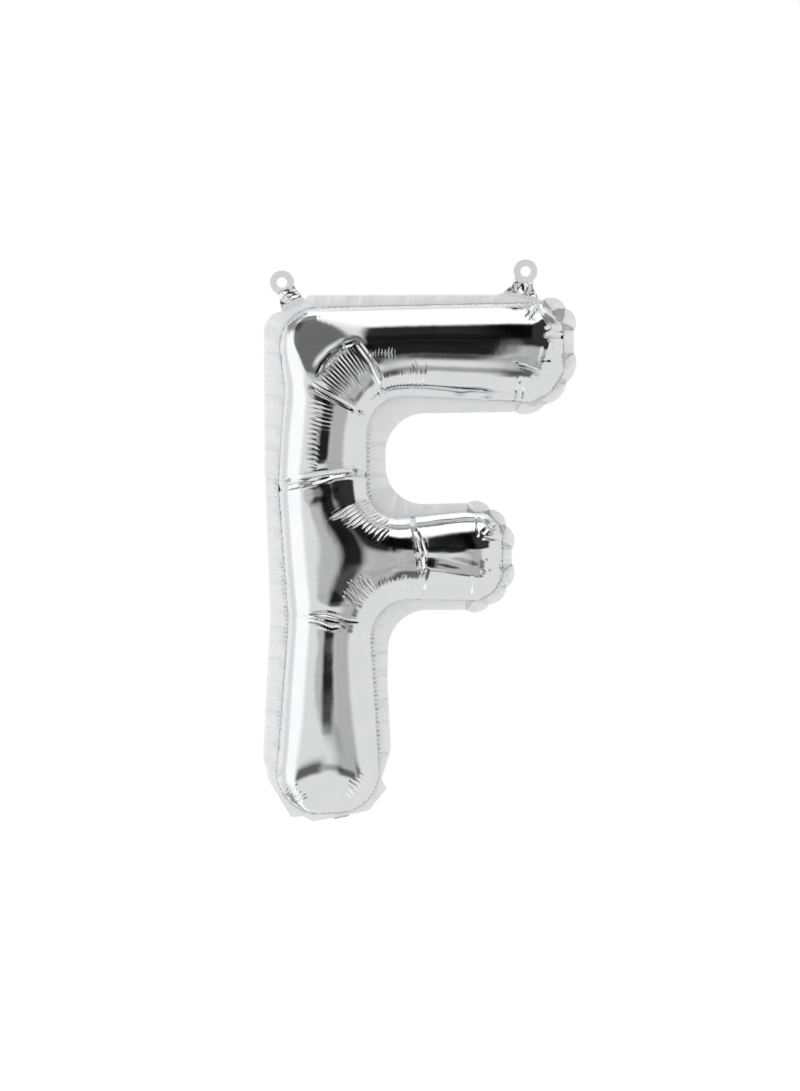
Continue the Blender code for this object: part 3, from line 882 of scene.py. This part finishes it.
def flap(name, edge, holes, relief, crush, fold):
    """A flap of sealed film drawn flat on its fold line, given its relief and wall, and set in its place."""
    bm = cut_foil([np.array(edge), *[np.array(hole) for hole in holes]], TAB_STEP)
    places = coordinates(bm)
    places[:, 1] = -relief(places[:, 0], places[:, 2])
    set_coordinates(bm, places)
    layer = bm.verts.layers.float.new("crush")
    for vert, share in zip(bm.verts, crush(places[:, 0], places[:, 2])):
        vert[layer] = share
    thickened(bm, TAB_WALL)
    upright = Matrix(((1, 0, 0, 0), (0, 0, 1, 0), (0, -1, 0, 0), (0, 0, 0, 1)))
    bmesh.ops.transform(bm, matrix=fold @ upright, verts=bm.verts)
    piece = object_of(bm, name, tab_silver)
    rounder = piece.modifiers.new("rounder", "SUBSURF")
    rounder.levels = rounder.render_levels = 1
    return piece


for side, (x, z, lean, base_half, neck_half, lift) in TABS.items():
    fold = fold_frame(x, z, lean)
    head = ring(HEAD_RADIUS, lift * MM, HEAD_START, HEAD_SWEEP)
    base, neck = base_half * MM, neck_half * MM
    right = [(neck, TAB_NECK), (base, 0), (base, -TAB_ROOT)]
    left = [(-base, -TAB_ROOT), (-base, 0), (-neck, TAB_NECK)]
    edge = head[:-1] + stepped([head[-1], *right, *left, head[0]], TAB_STEP)

    def crushed(across, up):
        """How far a place lies in the crushed neck, 0 to 1."""
        _, low, high = TAB_FOLDS[side]
        share = smooth_step(up, (low - 1) * MM, (low + 0.6) * MM)
        share *= 1 - smooth_step(up, (high - 0.8) * MM, (high + 0.8) * MM)
        return share * smooth_step(np.hypot(across, up - lift * MM), 4.2 * MM, 5.4 * MM)

    def tab_relief(across, up):
        height = np.zeros(len(across))
        for way, period, shift, tall in TAB_FOLDS[side][0]:
            way = math.radians(way)
            turn = (across * math.cos(way) + up * math.sin(way)) / (period * MM) + shift / period
            height += tall * MM * (2 * np.abs(turn - np.round(turn)) - 0.5)
        head_reach = np.hypot(across, up - lift * MM)
        lip = HOLE_LIP * np.exp(-(((head_reach - HOLE_RADIUS) / HOLE_LIP_WIDTH) ** 2))
        cup = TAB_CUP * np.cos(np.clip(across / (HEAD_RADIUS * 1.2), -1, 1) * math.pi / 2)
        return height * crushed(across, up) + lip + cup * smooth_step(up, 0, 12 * MM)

    tab = flap(f"tab_{side}", edge, [ring(HOLE_RADIUS, lift * MM)], tab_relief, crushed, fold)
    away = fold.to_3x3() @ Vector((0, 1, 0))
    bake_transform(tab, "envelope", f"{side}_tab",
             start=fold.translation - away * 0.8 * MM, end=fold.translation + away * 1.6 * MM)
    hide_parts(f"hanging_tab_{side}")

# Filling tail
# The tongue of sealed film with the filling valve between its plies stands out behind the bottom of the stem,
# where it is folded back. The valve's channel shows as two faint ridges that lead from the fold to the mouth.
TAIL_WIDTH = 11.0 * MM
TAIL_LENGTH = 18.0 * MM
TAIL_MOUTH_RADIUS = 3.3 * MM
TAIL_BACK = 84.0  # degrees between the tail and the stem, seen from the side
TAIL_ROOT = 0.6 * MM
CHANNEL_HALF = 3.9 * MM
CHANNEL_HEIGHT = 0.35 * MM  # height and half width of the two ridges
CHANNEL_WIDTH = 0.5 * MM
SWELL_HEIGHT = 0.5 * MM  # the plies stand a little open between them, next to the fold
SWELL_HALF = 4 * MM
RIPPLE = 0.18 * MM

low_right, low_left = RIGHT_EDGE[-1], LOWER_LEFT_EDGE[0]
slope = math.degrees(math.atan2(low_right[1] - low_left[1], low_right[0] - low_left[0]))
fold = fold_frame((low_right[0] + low_left[0]) / 2, (low_right[1] + low_left[1]) / 2, 180 - slope)
fold.translation += fold.to_3x3() @ Vector((0, FOLD_GAP, 0))
tail_fold = fold @ Matrix.Rotation(math.radians(TAIL_BACK - 180), 4, "X")
half = TAIL_WIDTH / 2
tail_end = ring(half, TAIL_LENGTH - half, 180.0, 180.0)
tail_sides = stepped([tail_end[-1], (half, -TAIL_ROOT), (-half, -TAIL_ROOT), tail_end[0]], TAB_STEP)


def tail_relief(across, up):
    channel = CHANNEL_HEIGHT * np.exp(-(((np.abs(across) - CHANNEL_HALF) / CHANNEL_WIDTH) ** 2))
    swell = SWELL_HEIGHT * np.cos(np.clip(across / SWELL_HALF, -1, 1) * math.pi / 2)
    ripple = RIPPLE * np.sin(up / (1.7 * MM) + across / (3 * MM))
    channel *= smooth_step(up, 1 * MM, 3 * MM)
    swell *= smooth_step(up, 0, 4 * MM) * (1 - smooth_step(up, 5 * MM, 9 * MM))
    return (channel + swell + ripple) * smooth_step(up, -TAIL_ROOT, 2 * MM)


def tail_crush(across, up):
    return np.zeros(len(across))


tail_mouth = ring(TAIL_MOUTH_RADIUS, TAIL_LENGTH - half)
tail = flap("tail_foil", tail_end[:-1] + tail_sides, [tail_mouth], tail_relief, tail_crush, tail_fold)
out = tail_fold.to_3x3() @ Vector((0, 1, 0))
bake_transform(tail, "envelope", "tail",
         start=tail_fold.translation - out * 0.6 * MM, end=tail_fold.translation + out * 1.8 * MM)
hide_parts("filling_tail")

# Studio
# A plain white floor under the hanging letter and a white backdrop. What the film reflects is brighter above
# and at the left, and has the darker patches of a room, which show as the dark bands in the film.
FLOOR_HALF = 6.0
FLOOR_LEVEL = -0.80
FLOOR_GLOW = 0.5  # brings the floor up to the backdrop's white, for the camera alone

bm = bmesh.new()
bmesh.ops.create_grid(bm, x_segments=8, y_segments=8, size=FLOOR_HALF)
bmesh.ops.translate(bm, verts=bm.verts, vec=(0, 0, FLOOR_LEVEL))
floor_white = bpy.data.materials.new("floor_white")
floor_white.use_nodes = True
nodes, links = floor_white.node_tree.nodes, floor_white.node_tree.links
shader = nodes["Principled BSDF"]
shader.inputs["Base Color"].default_value = (0.9, 0.9, 0.9, 1)
shader.inputs["Roughness"].default_value = 0.7
shader.inputs["Emission Color"].default_value = (1, 1, 1, 1)
seen = nodes.new("ShaderNodeLightPath")
glow = nodes.new("ShaderNodeMath")
glow.operation = "MULTIPLY"
glow.inputs[1].default_value = FLOOR_GLOW
links.new(seen.outputs["Is Camera Ray"], glow.inputs[0])
links.new(glow.outputs[0], shader.inputs["Emission Strength"])
floor = object_of(bm, "floor", floor_white)
floor.visible_glossy = False

world = bpy.data.worlds.new("studio")
bpy.context.scene.world = world
world.use_nodes = True
tree = world.node_tree
tree.nodes.clear()


def sky_math(operation, first, second=None):
    node = tree.nodes.new("ShaderNodeMath")
    node.operation = operation
    for k, value in enumerate((first, second)):
        if isinstance(value, (int, float)):
            node.inputs[k].default_value = value
        elif value is not None:
            tree.links.new(value, node.inputs[k])
    return node.outputs[0]


def sky_edge(value, at, soft):
    """0 below an angle in degrees and 1 above it, over a soft edge."""
    node = tree.nodes.new("ShaderNodeMapRange")
    node.interpolation_type = "SMOOTHSTEP"
    node.inputs["From Min"].default_value = math.radians(at - soft)
    node.inputs["From Max"].default_value = math.radians(at + soft)
    tree.links.new(value, node.inputs["Value"])
    return node.outputs[0]


def sky_band(value, low, high, soft):
    """1 between two angles in degrees and 0 outside them, over soft edges."""
    above, past = sky_edge(value, low, soft), sky_edge(value, high, soft)
    return sky_math("MULTIPLY", above, sky_math("SUBTRACT", 1.0, past))


direction = tree.nodes.new("ShaderNodeTexCoord")
split = tree.nodes.new("ShaderNodeSeparateXYZ")
tree.links.new(direction.outputs["Generated"], split.inputs[0])
side = sky_math("ARCTAN2", split.outputs["X"], sky_math("MULTIPLY", split.outputs["Y"], -1.0))
rise = sky_math("ARCSINE", split.outputs["Z"])

# Each row sets one patch of the studio: its sides, how far they lean as they rise and their softness, then
# its heights and their softness, all in degrees, and the share of the light that it leaves.
STUDIO_PATCHES = [
    (-10, 8.5, 0.08, 4, -6, 26, 5, 0.02),
    (-13, 23, 0.1, 6, 20, 50, 5, 0.03),
    (10, 84, -0.13, 6, 10, 52, 4, 0.04),
    (-27, 10, -1.03, 4, 14, 71, 4, 0.2),
    (-30, -7, 0.7, 5, 5, 14, 3, 0.05),
    (-9, 4, 0, 3, -11, -4, 3, 0.2),
    (-31, -23, 0, 3, 22, 28, 3, 5.5),
    (-92, -50, 0, 6, 35, 49, 4, 0.3),
    (-26, -4, -1.6, 5, -14, 12, 4, 0.65),
    (8, 44, 0, 8, -44, 17, 6, 0.6),
    (13, 33, 0.1, 4, -46, -30, 4, 0.28),
    (36, 56, 0, 6, -34, -17, 6, 0.3),
    (-42, -4, 0.1, 7, -44, -21, 6, 0.16),
    (-6, 16, 0, 4, -38, -26, 4, 0.5),
    (-120, -104, 0, 6, -70, 64, 6, 0.75),
    (86, 126, 0, 6, 26, 62, 6, 0.3),
    (-136, -88, 0, 6, 28, 62, 6, 0.35),
    (-150, -84, 0, 6, -60, -34, 5, 0.45),
    (160, 200, 0, 10, -14, 40, 14, 0.3),
    (-200, -168, 0, 10, -14, 40, 14, 0.3),
]
LIGHT_BELOW, LIGHT_ABOVE, LIGHT_LEFT = 0.78, 0.38, 0.30
ABOVE_FROM = (50, 14)  # angle and softness of the brighter part above, in degrees
LEFT_BAND = (-118, -50, 8)

level = sky_math("ADD", LIGHT_BELOW, sky_math("MULTIPLY", LIGHT_ABOVE, sky_edge(rise, *ABOVE_FROM)))
level = sky_math("ADD", level, sky_math("MULTIPLY", LIGHT_LEFT, sky_band(side, *LEFT_BAND)))
for left, right, lean, side_soft, low, high, rise_soft, share in STUDIO_PATCHES:
    leant = sky_math("SUBTRACT", side, sky_math("MULTIPLY", rise, lean))
    patch = sky_band(leant, left, right, side_soft)
    patch = sky_math("MULTIPLY", patch, sky_band(rise, low, high, rise_soft))
    level = sky_math("MULTIPLY", level, sky_math("SUBTRACT", 1.0, sky_math("MULTIPLY", patch, 1.0 - share)))
studio = tree.nodes.new("ShaderNodeBackground")
tree.links.new(level, studio.inputs["Strength"])
backdrop = tree.nodes.new("ShaderNodeBackground")
backdrop.inputs["Strength"].default_value = 1.0
backdrop.inputs["Color"].default_value = (1, 1, 1, 1)
studio.inputs["Color"].default_value = (1, 1, 1, 1)
rays = tree.nodes.new("ShaderNodeLightPath")
chosen = tree.nodes.new("ShaderNodeMixShader")
tree.links.new(rays.outputs["Is Glossy Ray"], chosen.inputs[0])
tree.links.new(backdrop.outputs[0], chosen.inputs[1])
tree.links.new(studio.outputs[0], chosen.inputs[2])
tree.links.new(chosen.outputs[0], tree.nodes.new("ShaderNodeOutputWorld").inputs[0])
bpy.context.scene.view_settings.view_transform = "Standard"

# Camera
# Level and square to the letter, two metres in front of it, framed as the photograph is.
PIXEL = 0.6805 * MM
PHOTO_MIDDLE = (400, 545.5)
PHOTO_HEIGHT = 1091
ORIGIN_PIXEL = (403.75, 277)
CAMERA_DISTANCE = 2.0
SENSOR_HEIGHT = 24

camera_data = bpy.data.cameras.new("camera")
camera_data.sensor_fit = "VERTICAL"
camera_data.sensor_height = SENSOR_HEIGHT
camera_data.lens = SENSOR_HEIGHT * CAMERA_DISTANCE / (PHOTO_HEIGHT * PIXEL)
camera = bpy.data.objects.new("camera", camera_data)
camera.location.x = (PHOTO_MIDDLE[0] - ORIGIN_PIXEL[0]) * PIXEL
camera.location.y = -CAMERA_DISTANCE
camera.location.z = (ORIGIN_PIXEL[1] - PHOTO_MIDDLE[1]) * PIXEL
camera.rotation_euler = (math.pi / 2, 0, 0)
bpy.context.scene.collection.objects.link(camera)
bpy.context.scene.camera = camera
